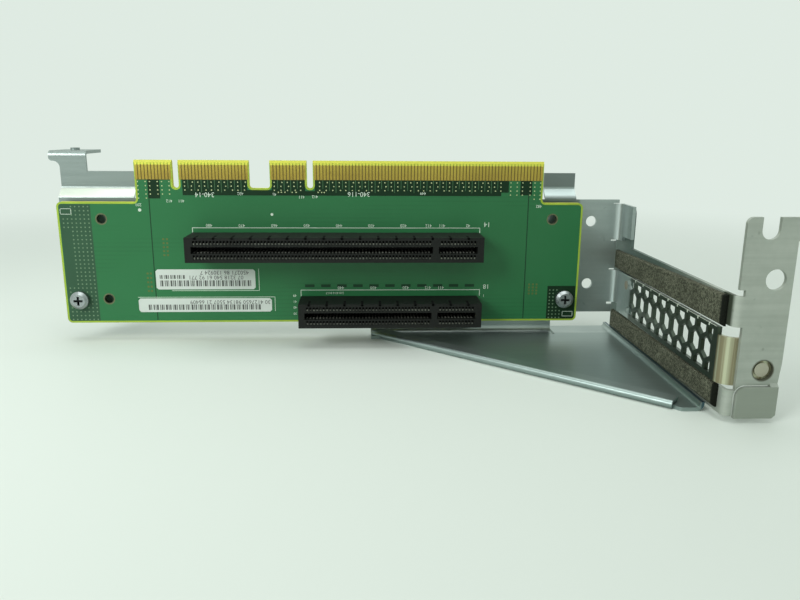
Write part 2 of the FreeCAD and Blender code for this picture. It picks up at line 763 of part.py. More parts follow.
# foot: bend under the board, plate, hem along the slanting edge, curb
foot_bend = [
    ("plate_y", f"{foot_fold} + 1"),
    ("plate_back", f"{foot_fold} + 1"),
    ("plate_back", "foot_z", "bend_out"),
    ("plate_y - 2 * bend_in", "foot_z"),
    ("plate_y - 2 * bend_in", "foot_top"),
    ("plate_y", "foot_top", "bend_in"),
]
grow(bracket, SIDE, "foot_left", foot_bend, "foot_fold_right - foot_left")
run_x = "(hem_end_x - foot_left)"
run_y = "(hem_end_y - plate_y + bend_in)"
run = f"sqrt({run_x} ^ 2 + {run_y} ^ 2)"
edge_y = "plate_y - bend_in"
# the flat plate starts where the round of the hem ends
shift_x = f"(-{run_y} / {run} * hem_high / 2)"
shift_y = f"({run_x} / {run} * hem_high / 2)"
foot = [
    (f"foot_left + {shift_x}", edge_y),
    ("foot_fold_right", edge_y),
    ("foot_fold_right", f"{edge_y} - 1"),
    ("foot_fold_right + 1", f"{edge_y} - 1"),
    ("foot_fold_right + 1", "curb_far"),
    ("curb_right - curb_in - sheet_thick", "curb_far"),
    ("curb_right - curb_in - sheet_thick", "tip_near"),
    ("tip_left", "tip_near", "tip_round"),
    (f"hem_end_x + {shift_x}", f"hem_end_y + {shift_y}"),
]
grow(bracket, FLOOR, "foot_z", foot, "sheet_thick")
curb = [
    ("curb_right - 3 * sheet_thick", "foot_z"),
    ("curb_right", "foot_z", "curb_in + sheet_thick"),
    ("curb_right", "curb_top"),
    ("curb_right - sheet_thick", "curb_top"),
    ("curb_right - sheet_thick", "foot_top", "curb_in"),
    ("curb_right - 3 * sheet_thick", "foot_top"),
]
grow(bracket, FRONT, "-curb_far", curb, "curb_far - tip_near")
hem_round = "hem_high * 0.49"
hem = [
    ("0", "foot_z", hem_round),
    ("hem_wide", "foot_z"),
    ("hem_wide", "foot_top"),
    ("hem_high / 2 - hem_gap / 2", "foot_top"),
    ("hem_high / 2 - hem_gap / 2", "foot_top + hem_gap"),
    ("hem_wide", "foot_top + hem_gap"),
    ("hem_wide", "foot_z + hem_high"),
    ("0", "foot_z + hem_high", hem_round),
]
flat = new_sketch(bracket, SIDE, "foot_left")
flat.setExpression("AttachmentOffset.Base.x", bound(edge_y))
flat.AttachmentOffset = FreeCAD.Placement(
    flat.AttachmentOffset.Base, FreeCAD.Rotation(FreeCAD.Vector(0, 1, 0), -40)
)
flat.setExpression("AttachmentOffset.Rotation.Angle", bound(f"atan({run_y} / {run_x})"))
draw_loop(flat, hem)
shape_from(bracket, "Pad", flat, run)

# rivet hole through the folded end of the band
flat = new_sketch(bracket, FRONT, "-end_y")
draw_circle(flat, "rivet_x", "rivet_z", "rivet_shank")
shape_from(bracket, "Pocket", flat, "4 * sheet_thick")

# wall and end plate, one sheet
wall = new_body("io_wall")
wall_in = "(wall_round - sheet_thick)"
corner = [
    ("wall_x", "wall_far"),
    ("wall_x", "end_y", "wall_round"),
    ("end_lip_right - 4", "end_y"),
    ("end_lip_right - 4", "end_back"),
    ("wall_x + sheet_thick", "end_back", wall_in),
    ("wall_x + sheet_thick", "wall_far"),
]
grow(wall, FLOOR, "wall_low", corner, "wall_high - wall_low")
ear = [
    ("wall_ear_near", "wall_high - 1"),
    ("wall_far", "wall_high - 1"),
    ("wall_far", "wall_ear_top", "wall_ear_round"),
    ("wall_ear_near", "wall_ear_top", "wall_ear_round"),
]
grow(wall, SIDE, "wall_x", ear, "sheet_thick")
flat = new_sketch(wall, FRONT, "-(end_back)")
upper = [
    ("wall_x + wall_round", "notch_low"),
    ("end_right", "notch_low"),
    ("end_right", "end_lip_low"),
    ("end_lip_right", "end_lip_low"),
    ("end_lip_right", "end_top", "end_round"),
    ("fork_right", "end_top"),
    ("fork_right", "fork_floor", "(fork_right - fork_left) * 0.49"),
    ("fork_left", "fork_floor", "(fork_right - fork_left) * 0.49"),
    ("fork_left", "end_top"),
    ("end_left", "end_top", "end_round"),
    ("end_left", "notch_high"),
    ("notch_right", "notch_high"),
]
draw_loop(flat, upper)
draw_circle(flat, "end_bore_x", "end_bore_z", "end_bore")
shape_from(wall, "Pad", flat, "sheet_thick")
side_plate = [
    ("end_lip_right - 5", "pad_high - 1"),
    ("pad_right", "pad_high - 1"),
    ("pad_right", "pad_high"),
    ("end_right", "rivet_z + rivet_head / 2"),
    ("end_right", "notch_low + 1"),
    ("end_lip_right - 5", "notch_low + 1"),
]
grow(wall, FRONT, "-(end_back)", side_plate, "sheet_thick")

# pad at the bottom of the end plate, pressed forward and cut free but at its upper right
pad_room = [
    ("notch_right", "pad_low - 1"),
    ("end_lip_right", "pad_low - 1"),
    ("end_lip_right", "pad_high"),
    ("notch_right", "pad_high", "pad_round"),
]
carve(wall, FRONT, "-(end_y - 1)", [pad_room], "3 * sheet_thick")
pad = [
    ("notch_right + slit_wide", "pad_low"),
    ("pad_right - pad_small_round", "pad_low"),
    ("pad_right", "pad_low + pad_small_round"),
    ("pad_right", "pad_high - slit_wide"),
    ("notch_right + slit_wide", "pad_high - slit_wide", "pad_round - slit_wide"),
]
grow(wall, FRONT, "-(end_back - pad_step)", pad, "sheet_thick")
joint = [
    ("end_y", "pad_high + 2 * pad_step"),
    ("end_y", "pad_high + pad_step / 2"),
    ("end_y - pad_step", "pad_high - pad_step / 2"),
    ("end_y - pad_step", "pad_high - 2 * pad_step"),
    ("end_back - pad_step", "pad_high - 2 * pad_step"),
    ("end_back - pad_step", "pad_high - pad_step"),
    ("end_back", "pad_high"),
    ("end_back", "pad_high + 2 * pad_step"),
]
grow(wall, SIDE, "pad_right - pad_joint", joint, "pad_joint")
window = box_loop("band_near", "window_low", "window_far", "window_high")
carve(wall, SIDE, "wall_x + 2", [window], "3 * sheet_thick")
mouth = box_loop("wall_x - 1", "window_low", "window_right", "window_high")
carve(wall, FRONT, "-(end_y - 2)", [mouth], "band_round + 4", False)
flat = new_sketch(wall, FRONT, "-(end_y - 1)")
draw_circle(flat, "rivet_x", "rivet_z", "rivet_room")
shape_from(wall, "Pocket", flat, "3 * sheet_thick")

# rivet in the folded end of the band, its head inside the end plate's hole
rivet = new_body("end_plate_rivet")
layers = (
    ("-(end_back)", "rivet_head", "rivet_high", False),
    ("-(end_back)", "rivet_shank", "sheet_thick", True),
)
for level, wide, length, away in layers:
    flat = new_sketch(rivet, FRONT, level)
    draw_circle(flat, "rivet_x", "rivet_z", wide)
    shape_from(rivet, "Pad", flat, length, away)

# gaskets on the inner face of the wall, a little higher at the near end
for name, key in (("lower_gasket", "gasket_a"), ("upper_gasket", "gasket_b")):
    gasket = new_body(name)
    strip = [
        ("gasket_near", f"{key}_near_low"),
        ("gasket_far", f"{key}_far_low"),
        ("gasket_far", f"{key}_far_high"),
        ("gasket_near", f"{key}_near_high"),
    ]
    grow(gasket, SIDE, "wall_x - gasket_thick", strip, "gasket_thick")

doc.recompute()
bodies = [item for item in doc.Objects if item.TypeId == "PartDesign::Body"]
for item in doc.Objects:
    if "Invalid" in item.State or "Error" in item.State:
        raise RuntimeError(f"{item.Name} has state {item.State}")
for body in bodies:
    if body.Shape.isNull() or not body.Shape.isValid() or not body.Shape.Solids:
        raise RuntimeError(f"{body.Name} has no sound shape")

os.makedirs("parts", exist_ok=True)
for body in bodies:
    body.Shape.exportStep(f"parts/{body.Label}.step")
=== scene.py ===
import bpy
import bmesh
import math
from mathutils import Matrix, Vector


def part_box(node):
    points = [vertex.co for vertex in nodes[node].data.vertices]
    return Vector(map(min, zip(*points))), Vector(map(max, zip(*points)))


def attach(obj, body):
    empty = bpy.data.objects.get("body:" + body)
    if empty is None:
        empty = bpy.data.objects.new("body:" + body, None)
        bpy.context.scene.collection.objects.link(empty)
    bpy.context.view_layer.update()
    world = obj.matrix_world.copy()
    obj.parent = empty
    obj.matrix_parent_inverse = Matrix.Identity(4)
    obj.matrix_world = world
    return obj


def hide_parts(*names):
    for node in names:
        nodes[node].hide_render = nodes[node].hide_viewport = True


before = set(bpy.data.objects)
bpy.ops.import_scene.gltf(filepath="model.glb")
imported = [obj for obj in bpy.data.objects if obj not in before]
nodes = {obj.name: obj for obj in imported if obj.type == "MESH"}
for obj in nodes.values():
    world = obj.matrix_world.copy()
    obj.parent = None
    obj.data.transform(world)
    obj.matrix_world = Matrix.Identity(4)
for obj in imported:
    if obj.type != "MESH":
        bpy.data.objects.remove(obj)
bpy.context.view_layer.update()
print("frame loaded")

mm = 0.001
boardLow = Vector(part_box("riser_board")[0])  # lower left front corner of the board
boardLong = (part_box("riser_board")[1][0] - boardLow.x) / mm
wallFace = (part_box("io_wall")[0][0] - boardLow.x) / mm  # the end plate's face toward the board


# a place given in millimetres from the board's corner, in metres
def onBoard(x, y, z):
    return boardLow + Vector((x, y, z)) * mm


# a node's two corners in millimetres from the board's corner
def cornersOf(name):
    return [(Vector(corner) - boardLow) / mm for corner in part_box(name)]


# small helpers for shader trees; a socket takes a number, a colour or another node's output
def feed(tree, socket, value):
    if isinstance(value, (int, float)):
        socket.default_value = value
    elif isinstance(value, tuple):
        socket.default_value = (*value, 1)
    else:
        tree.links.new(value, socket)


def mathNode(tree, operation, *values):
    node = tree.nodes.new("ShaderNodeMath")
    node.operation = operation
    for socket, value in zip(node.inputs, values):
        feed(tree, socket, value)
    return node.outputs[0]


def vectorNode(tree, operation, vector, other=None):
    node = tree.nodes.new("ShaderNodeVectorMath")
    node.operation = operation
    tree.links.new(vector, node.inputs[0])
    if other:
        node.inputs[1].default_value = other
    return node.outputs


def splitVector(tree, vector):
    node = tree.nodes.new("ShaderNodeSeparateXYZ")
    tree.links.new(vector, node.inputs[0])
    return node.outputs


def mixColor(tree, share, first, second):
    node = tree.nodes.new("ShaderNodeMix")
    node.data_type = "RGBA"
    for index, value in ((0, share), (6, first), (7, second)):
        feed(tree, node.inputs[index], value)
    return node.outputs[2]


def noiseValue(tree, vector, scale, detail, stretch=None):
    if stretch:
        mapping = tree.nodes.new("ShaderNodeMapping")
        mapping.inputs["Scale"].default_value = stretch
        tree.links.new(vector, mapping.inputs["Vector"])
        vector = mapping.outputs[0]
    node = tree.nodes.new("ShaderNodeTexNoise")
    node.inputs["Scale"].default_value = scale
    node.inputs["Detail"].default_value = detail
    tree.links.new(vector, node.inputs["Vector"])
    return node.outputs["Fac"]


# 0 up to the first value, 1 from the second one on
def rampValue(tree, value, start, end, kind="LINEAR"):
    node = tree.nodes.new("ShaderNodeMapRange")
    node.interpolation_type = kind
    node.inputs["From Min"].default_value = start
    node.inputs["From Max"].default_value = end
    tree.links.new(value, node.inputs["Value"])
    return node.outputs[0]


# a new node group with its named inputs and outputs
def makeGroup(name, inputs, outputs):
    group = bpy.data.node_groups.new(name, "ShaderNodeTree")
    for side, sockets in (("INPUT", inputs), ("OUTPUT", outputs)):
        for title, kind in sockets.items():
            group.interface.new_socket(name=title, in_out=side, socket_type="NodeSocket" + kind)
    return group, group.nodes.new("NodeGroupInput").outputs, group.nodes.new("NodeGroupOutput").inputs


# worn sheet metal: cloudy stains, fine speckle and brushed lines
wear = {
    "cloudScale": 55, "cloudRamp": (0.40, 0.66), "brushRamp": (0.38, 0.68),
    "fineScale": 900, "fineRamp": (0.3, 0.8), "fineShare": 0.14,
    "speckScale": 420, "speckRamp": (0.70, 0.76), "speckShare": 0.6,
    "streakRamp": (0.40, 0.62), "roughSpread": 0.16, "fineHeight": 0.4,
}


def makeTarnish():
    group, given, result = makeGroup(
        "tarnish",
        {"Vector": "Vector", "Brush Vector": "Vector", "Color": "Color", "Stain Color": "Color",
         "Stain Share": "Float", "Brush Share": "Float", "Roughness": "Float"},
        {"Color": "Color", "Roughness": "Float", "Height": "Float"},
    )
    place = given["Vector"]
    clouds = rampValue(group, noiseValue(group, place, wear["cloudScale"], 4), *wear["cloudRamp"])
    specks = rampValue(group, noiseValue(group, place, wear["speckScale"], 1), *wear["speckRamp"])
    fine = noiseValue(group, place, wear["fineScale"], 2)
    speckle = rampValue(group, fine, *wear["fineRamp"])
    brush = noiseValue(group, given["Brush Vector"], 1, 4)
    lines = rampValue(group, brush, *wear["brushRamp"])
    share = mathNode(group, "MULTIPLY", clouds, given["Stain Share"])
    share = mathNode(group, "MULTIPLY_ADD", lines, given["Brush Share"], share)
    share = mathNode(group, "MULTIPLY_ADD", speckle, wear["fineShare"], share)
    share = mathNode(group, "MULTIPLY_ADD", specks, wear["speckShare"], share)
    share = mathNode(group, "MINIMUM", share, 1)
    feed(group, result["Color"], mixColor(group, share, given["Color"], given["Stain Color"]))
    rough = mathNode(group, "MULTIPLY_ADD", brush, wear["roughSpread"], given["Roughness"])
    feed(group, result["Roughness"], rough)
    feed(group, result["Height"], mathNode(group, "MULTIPLY_ADD", fine, wear["fineHeight"], brush))
    return group


# a mask that is 1 between two corners and fades inward from them over the softness
def makeZone():
    group, given, result = makeGroup(
        "zone",
        {"Vector": "Vector", "Low": "Vector", "High": "Vector", "Softness": "Float"},
        {"Mask": "Float"},
    )
    place, low, high = (splitVector(group, given[name]) for name in ("Vector", "Low", "High"))
    mask = 1
    for axis in "XYZ":
        for first, second in ((place, low), (high, place)):
            reach = mathNode(group, "SUBTRACT", first[axis], second[axis])
            side = mathNode(group, "DIVIDE", reach, given["Softness"])
            side = mathNode(group, "MINIMUM", mathNode(group, "MAXIMUM", side, 0), 1)
            mask = mathNode(group, "MULTIPLY", mask, side)
    feed(group, result["Mask"], mask)
    return group


tarnish = makeTarnish()
zone = makeZone()


def zoneMask(tree, vector, low, high, softness):
    node = tree.nodes.new("ShaderNodeGroup")
    node.node_tree = zone
    node.inputs["Low"].default_value = onBoard(*low)
    node.inputs["High"].default_value = onBoard(*high)
    node.inputs["Softness"].default_value = softness * mm
    tree.links.new(vector, node.inputs["Vector"])
    return node.outputs["Mask"]


# a mask that is 1 inside a circle seen from the front
def discMask(tree, vector, centre, radius):
    spot = onBoard(*centre)
    flat = vectorNode(tree, "MULTIPLY", vector, (1, 0, 1))["Vector"]
    reach = vectorNode(tree, "DISTANCE", flat, (spot.x, 0, spot.z))["Value"]
    return rampValue(tree, reach, (radius + 0.25) * mm, (radius - 0.1) * mm)


def newMaterial(name, roughness, metallic=0.0, sheen=0.5):
    material = bpy.data.materials.new(name)
    material.use_nodes = True
    tree = material.node_tree
    shader = tree.nodes["Principled BSDF"]
    shader.inputs["Roughness"].default_value = roughness
    shader.inputs["Metallic"].default_value = metallic
    shader.inputs["Specular IOR Level"].default_value = sheen
    coords = tree.nodes.new("ShaderNodeTexCoord").outputs["Object"]
    return material, tree, shader, coords


def addBump(tree, shader, height, strength, distance):
    bump = tree.nodes.new("ShaderNodeBump")
    bump.inputs["Strength"].default_value = strength
    bump.inputs["Distance"].default_value = distance * mm
    tree.links.new(height, bump.inputs["Height"])
    tree.links.new(bump.outputs[0], shader.inputs["Normal"])


# sheet or plated metal; zones and a disc tint parts of it
def metalMaterial(name, look):
    material, tree, shader, coords = newMaterial(name, look["rough"], look["metallic"])
    brush = tree.nodes.new("ShaderNodeMapping")
    brush.inputs["Scale"].default_value = look.get("brush", (60, 60, 60))
    tree.links.new(coords, brush.inputs["Vector"])
    worn = tree.nodes.new("ShaderNodeGroup")
    worn.node_tree = tarnish
    given = {
        "Vector": coords, "Brush Vector": brush.outputs[0], "Roughness": look["rough"],
        "Color": look["color"], "Stain Color": look["stain"],
        "Stain Share": look["stainShare"], "Brush Share": look.get("brushShare", 0.2),
    }
    for title, value in given.items():
        feed(tree, worn.inputs[title], value)
    color = worn.outputs["Color"]
    for low, high, softness, tint, *streaks in look.get("zones", ()):
        for streak in streaks:
            lines = rampValue(tree, noiseValue(tree, coords, 1, 3, streak), *wear["streakRamp"])
            tint = mixColor(tree, lines, *tint)
        color = mixColor(tree, zoneMask(tree, coords, low, high, softness), color, tint)
    if "disc" in look:
        centre, radius, tint = look["disc"]
        color = mixColor(tree, discMask(tree, coords, centre, radius), color, tint)
    tree.links.new(color, shader.inputs["Base Color"])
    tree.links.new(worn.outputs["Roughness"], shader.inputs["Roughness"])
    addBump(tree, shader, worn.outputs["Height"], strength=look["bump"], distance=0.2)
    return material


# painted, printed and moulded surfaces with a fine grain
def grainMaterial(name, look):
    material, tree, shader, coords = newMaterial(name, look["rough"], sheen=look.get("sheen", 0.25))
    grain = noiseValue(tree, coords, look["scale"], 2)
    dark = tuple(channel * (1 - look["spread"]) for channel in look["color"])
    light = tuple(channel * (1 + look["spread"]) for channel in look["color"])
    tree.links.new(mixColor(tree, grain, dark, light), shader.inputs["Base Color"])
    rough = mathNode(tree, "MULTIPLY_ADD", grain, 0.12, look["rough"])
    tree.links.new(rough, shader.inputs["Roughness"])
    addBump(tree, shader, grain, strength=0.08, distance=0.1)
    return material


def boardMaterial(name, look):
    material, tree, shader, coords = newMaterial(name, look["rough"], sheen=look["sheen"])
    height = splitVector(tree, coords)["Z"]
    normal = splitVector(tree, tree.nodes.new("ShaderNodeNewGeometry").outputs["Normal"])
    onEdge = mathNode(tree, "LESS_THAN", mathNode(tree, "ABSOLUTE", normal["Y"]), look["edgeBelow"])
    cloud = noiseValue(tree, coords, look["cloudScale"], 3)
    color = mixColor(tree, cloud, look["mask"], look["maskLight"])
    # copper under the mask: level tracks that show only in patches
    lane = mathNode(tree, "FRACT", mathNode(tree, "MULTIPLY", height, 1 / (look["trackPitch"] * mm)))
    track = mathNode(tree, "LESS_THAN", lane, look["trackWide"])
    patches = noiseValue(tree, coords, look["patchScale"], 2, look["patchStretch"])
    track = mathNode(tree, "MULTIPLY", track, rampValue(tree, patches, *look["patchRamp"]))
    color = mixColor(tree, mathNode(tree, "MULTIPLY", track, look["trackShare"]), color, look["track"])
    # bare laminate between the fingers, bright on the bevel and the cut edges
    bare = mathNode(tree, "GREATER_THAN", height, boardLow.z + look["bareFrom"] * mm)
    color = mixColor(tree, bare, color, look["bare"])
    bevel = mathNode(tree, "GREATER_THAN", height, boardLow.z + look["bevelFrom"] * mm)
    color = mixColor(tree, mathNode(tree, "MAXIMUM", bevel, onEdge), color, look["laminate"])
    # painted shade on the walls inside the tooling holes
    reach = look["holeReach"]
    for x, z in look["holes"]:
        hole = zoneMask(tree, coords, (x - reach, -1, z - reach), (x + reach, 3, z + reach), 0.1)
        color = mixColor(tree, mathNode(tree, "MULTIPLY", hole, onEdge), color, look["holeShade"])
    tree.links.new(color, shader.inputs["Base Color"])
    rough = mathNode(tree, "MULTIPLY_ADD", onEdge, look["edgeRougher"], look["rough"])
    tree.links.new(rough, shader.inputs["Roughness"])
    relief = mathNode(tree, "MULTIPLY_ADD", track, look["trackHeight"], cloud)
    addBump(tree, shader, relief, strength=0.10, distance=0.1)
    return material


# knitted gasket cloth: crossed threads with fuzz, darker toward its near end
def weaveMaterial(name, look):
    material, tree, shader, coords = newMaterial(name, look["rough"], sheen=look["sheen"])
    place = splitVector(tree, coords)
    wobble = noiseValue(tree, coords, look["wobbleScale"], 2)
    wobble = mathNode(tree, "MULTIPLY", wobble, look["wobble"])
    waves = []
    for axis in ("Y", "Z"):
        turns = mathNode(tree, "MULTIPLY", place[axis], 2 * math.pi / (look["threadPitch"] * mm))
        waves.append(mathNode(tree, "SINE", mathNode(tree, "ADD", turns, wobble)))
    over = rampValue(tree, mathNode(tree, "MULTIPLY", *waves), -0.7, 0.7)
    fuzz = rampValue(tree, noiseValue(tree, coords, look["fuzzScale"], 1), *look["fuzzRamp"])
    patches = rampValue(tree, noiseValue(tree, coords, look["patchScale"], 2), *look["patchRamp"])
    strands = mathNode(tree, "MULTIPLY", fuzz, look["fuzzShare"])
    share = mathNode(tree, "MULTIPLY_ADD", over, look["crossShare"], strands)
    share = mathNode(tree, "MULTIPLY", share, patches)
    color = mixColor(tree, share, look["dark"], look["light"])
    color = mixColor(tree, zoneMask(tree, coords, *look["endZone"]), color, look["end"])
    tree.links.new(color, shader.inputs["Base Color"])
    addBump(tree, shader, share, strength=0.7, distance=0.3)
    return material


screwSpots = ((4.55, 7.5), (157.6, 7.3))  # the axes of the two board screws
# painted shade in the cross recess of each screw head
recessShade = {"reach": 1.5, "floor": -1.95, "softness": 0.1, "tint": (0.035, 0.04, 0.04)}  # in their heads

finishes = {
    "board": {
        "mask": (0.018, 0.132, 0.042), "maskLight": (0.024, 0.175, 0.060),
        "track": (0.012, 0.085, 0.030), "trackPitch": 1.3, "trackShare": 0.16, "trackHeight": 0.3,
        "trackWide": 0.4, "cloudScale": 26, "patchScale": 70, "patchStretch": (0.25, 1, 1.2),
        "patchRamp": (0.50, 0.60), "bare": (0.13, 0.10, 0.02), "bareFrom": 44.75, "bevelFrom": 49.35,
        "laminate": (0.60, 0.62, 0.08), "rough": 0.34, "sheen": 0.32,
        # a face is a cut edge where its normal's share along the depth is below this
        "edgeBelow": 0.35, "edgeRougher": 0.35,
        "holes": ((13.1, 32.8), (13.35, 7.7), (152.5, 32.9)), "holeReach": 2,
        "holeShade": (0.035, 0.04, 0.022),
    },
    "gasket": {
        "dark": (0.022, 0.024, 0.017), "light": (0.22, 0.235, 0.165), "end": (0.008, 0.010, 0.007),
        "threadPitch": 0.62, "crossShare": 0.3, "wobbleScale": 500, "wobble": 1.6,
        "fuzzScale": 2300, "fuzzRamp": (0.38, 0.66), "fuzzShare": 0.6,
        "patchScale": 160, "patchRamp": (-0.3, 0.6),
        "endZone": ((170, -67, -6), (180, -64.2, 25), 0.8), "rough": 0.9, "sheen": 0.1,
    },
    # each zone: low corner, high corner, softness and tint, or two tints and the scale of their streaks
    "sheet": {
        "color": (0.40, 0.46, 0.44), "stain": (0.28, 0.335, 0.325), "stainShare": 0.6,
        "brush": (30, 900, 900), "brushShare": 0.25, "rough": 0.27, "metallic": 0.85, "bump": 0.12,
        "zones": (
            # painted dark reflection over the vented band, and streaked painted reflection on its near
            # end
            ((wallFace - 4, -66.2, 1.0), (wallFace + 2, -7.4, 17.5), 1.4, (0.070, 0.092, 0.070)),
            ((wallFace - 2, -69.5, 2), (wallFace + 12, -64.6, 17), 0.3,
             ((0.52, 0.54, 0.38), (0.27, 0.24, 0.15)), (900, 900, 12)),
            # painted dark reflection on the foot, and a dark bluish painted reflection on its strip
            # beside the end plate
            ((95, -70, -6.5), (wallFace, 3, -3.2), 1.0, (0.26, 0.325, 0.31)),
            ((wallFace - 1.9, -66, -6.5), (wallFace, 12, -3.2), 0.3, (0.07, 0.125, 0.15)),
            # painted highlights on the strip right of the board, high and low
            ((wallFace - 4.4, -2.6, 25.0), (wallFace + 1, 5.2, 38.2), 1.4, (0.45, 0.51, 0.50)),
            ((wallFace - 4.4, -2.0, 4.4), (wallFace + 1, 5.2, 16.6), 1.4, (0.40, 0.455, 0.445)),
            # painted reflection on the plates behind the board's upper left and upper right, each with a
            # brighter stretch of painted highlight along its joggle
            ((-9, 2, 37), (40, 30, 60), 1.0, (0.27, 0.32, 0.305)),
            ((-3, 2, 39.0), (30, 9, 41.8), 0.4, (0.66, 0.72, 0.63)),
            ((146, 2, 37), (162.5, 12, 50), 0.6, (0.19, 0.225, 0.215)),
            ((146, 2, 39.6), (162.5, 9, 42.6), 0.4, (0.37, 0.44, 0.43)),
        ),
    },
    "wall": {
        "color": (0.45, 0.49, 0.435), "stain": (0.31, 0.345, 0.30), "stainShare": 0.65,
        "brush": (25, 300, 900), "brushShare": 0.25, "rough": 0.46, "metallic": 0.6, "bump": 0.12,
        "zones": (
            # painted shadow beside the upper gasket's near end
            ((wallFace - 1, -68.3, 16), (wallFace + 1.3, -63, 26), 0.8, (0.06, 0.075, 0.05)),
            # darker the farther the wall runs back from its near end
            ((wallFace - 40, -58, -40), (wallFace + 45, 60, 80), 32, (0.12, 0.165, 0.145)),
            ((wallFace + 2.2, -72, -5.6), (wallFace + 12.5, -66, 3.0), 0.4, (0.30, 0.335, 0.285)),
        ),
        # painted shade in the recess round the rivet
        "disc": ((wallFace + 8.3, 0, 6.7), 2.55, (0.11, 0.115, 0.085)),
    },
    "screw": {
        "color": (0.44, 0.48, 0.48), "stain": (0.20, 0.22, 0.23), "stainShare": 0.5,
        "rough": 0.24, "metallic": 0.95, "bump": 0.05,
        # painted shade in each screw head's recess
        "zones": tuple(
            ((x - recessShade["reach"], recessShade["floor"], z - recessShade["reach"]),
             (x + recessShade["reach"], 0.5, z + recessShade["reach"]), recessShade["softness"], recessShade["tint"])
            for x, z in screwSpots),
    },
    "rivet": {
        "color": (0.58, 0.58, 0.47), "stain": (0.34, 0.31, 0.24), "stainShare": 0.7,
        "rough": 0.42, "metallic": 0.8, "bump": 0.2,
    },
    "gold": {
        "color": (0.44, 0.33, 0.055), "stain": (0.30, 0.21, 0.035), "stainShare": 0.5,
        "rough": 0.36, "metallic": 0.65, "bump": 0.05,
        "zones": (((20, -1, 46.4), (152, 3, 51), 2.6, (0.58, 0.51, 0.08)),
                  ((20, -1, 49.1), (152, 3, 51), 0.3, (0.72, 0.70, 0.10))),
    },
    "contact": {
        "color": (0.27, 0.28, 0.24), "stain": (0.08, 0.08, 0.07), "stainShare": 0.9,
        "brush": (400, 400, 400), "brushShare": 0.5, "rough": 0.4, "metallic": 0.6, "bump": 0.15,
    },
    "housing": {"color": (0.0085, 0.0100, 0.0085), "spread": 0.3, "rough": 0.5, "scale": 1200,
                "sheen": 0.18},
    # painted shade: the near-black of the slot notches
    "mouth": {"color": (0.004, 0.004, 0.004), "spread": 0.3, "rough": 0.8, "scale": 700, "sheen": 0.1},
    "paper": {"color": (0.60, 0.66, 0.61), "spread": 0.05, "rough": 0.5, "scale": 250},
    "ink": {"color": (0.10, 0.11, 0.10), "spread": 0.3, "rough": 0.6, "scale": 900},
    "silk": {"color": (0.62, 0.74, 0.62), "spread": 0.25, "rough": 0.55, "scale": 900},
    "ground": {"color": (0.030, 0.088, 0.045), "spread": 0.2, "rough": 0.36, "scale": 60},
    "underGold": {"color": (0.007, 0.028, 0.011), "spread": 0.3, "rough": 0.4, "scale": 60,
                  "sheen": 0.15},
    "groundDot": {"color": (0.14, 0.24, 0.14), "spread": 0.3, "rough": 0.4, "scale": 900},
    "line": {"color": (0.008, 0.045, 0.018), "spread": 0.2, "rough": 0.4, "scale": 300},
    "edgeDot": {"color": (0.50, 0.58, 0.30), "spread": 0.35, "rough": 0.4, "scale": 500},
    "edgeTrace": {"color": (0.05, 0.13, 0.055), "spread": 0.3, "rough": 0.4, "scale": 500},
    "rim": {"color": (0.33, 0.47, 0.05), "spread": 0.25, "rough": 0.5, "scale": 200},
    "testPad": {"color": (0.10, 0.15, 0.04), "spread": 0.2, "rough": 0.4, "scale": 700},
    "holeRing": {"color": (0.12, 0.14, 0.07), "spread": 0.3, "rough": 0.4, "scale": 600},
    "tick": {"color": (0.62, 0.68, 0.58), "spread": 0.3, "rough": 0.4, "scale": 400},
    # painted highlight for the round spot on the vented band
    "bandHighlight": {"color": (0.24, 0.235, 0.18), "spread": 0.25, "rough": 0.6, "scale": 300},
}

solderMask = boardMaterial("solderMask", finishes["board"])
gasketWeave = weaveMaterial("gasketWeave", finishes["gasket"])
metals = {name: metalMaterial(name + "Metal", look)
          for name, look in finishes.items() if "stain" in look}
paints = {name: grainMaterial(name + "Paint", look)
          for name, look in finishes.items() if "spread" in look}
print("materials made")

nodeFinish = {
    "riser_board": solderMask,
    "fingers_x16_front": metals["gold"], "fingers_x16_back": metals["gold"],
    "fingers_x4_front": metals["gold"], "fingers_x4_back": metals["gold"],
    "slot_x16": paints["housing"], "slot_x8": paints["housing"],
    "slot_x16_contacts_upper": metals["contact"], "slot_x16_contacts_lower": metals["contact"],
    "slot_x8_contacts_upper": metals["contact"], "slot_x8_contacts_lower": metals["contact"],
    "board_screw_left": metals["screw"], "board_screw_right": metals["screw"],
    "standoff_left": metals["screw"], "standoff_right": metals["screw"],
    "main_bracket": metals["sheet"], "io_wall": metals["wall"], "end_plate_rivet": metals["rivet"],
    "upper_gasket": gasketWeave, "lower_gasket": gasketWeave,
    "label_part": paints["paper"], "label_serial": paints["paper"],
}
for name, material in nodeFinish.items():
    for place in nodes[name].material_slots:
        place.material = material


def finishPiece(bm, name, material):
    mesh = bpy.data.meshes.new(name)
    bmesh.ops.recalc_face_normals(bm, faces=bm.faces)
    bm.to_mesh(mesh)
    bm.free()
    piece = bpy.data.objects.new(name, mesh)
    bpy.context.scene.collection.objects.link(piece)
    mesh.materials.append(material)
    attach(piece, "root")
    return piece


standing = Matrix.Rotation(math.pi / 2, 4, "X")  # turns a flat shape upright, to face the front
# how far each kind of print stands off its surface, in millimetres
layer = {
    "patch": 0.012, "area": 0.015, "rim": 0.02, "line": 0.02, "bar": 0.02, "trace": 0.022,
    "number": 0.024, "print": 0.03, "frame": 0.04,
}


# a box between two corners in board millimetres
def addBox(bm, low, high):
    first, second = onBoard(*low), onBoard(*high)
    size = Matrix.Diagonal((*(second - first), 1))
    bmesh.ops.create_cube(bm, size=1, matrix=Matrix.Translation((first + second) / 2) @ size)


# a thin print on the front of the board, or on a surface at another level
def addPlate(bm, left, low, right, high, thick=layer["print"], level=0.0):
    addBox(bm, (left, level - thick, low), (right, level, high))


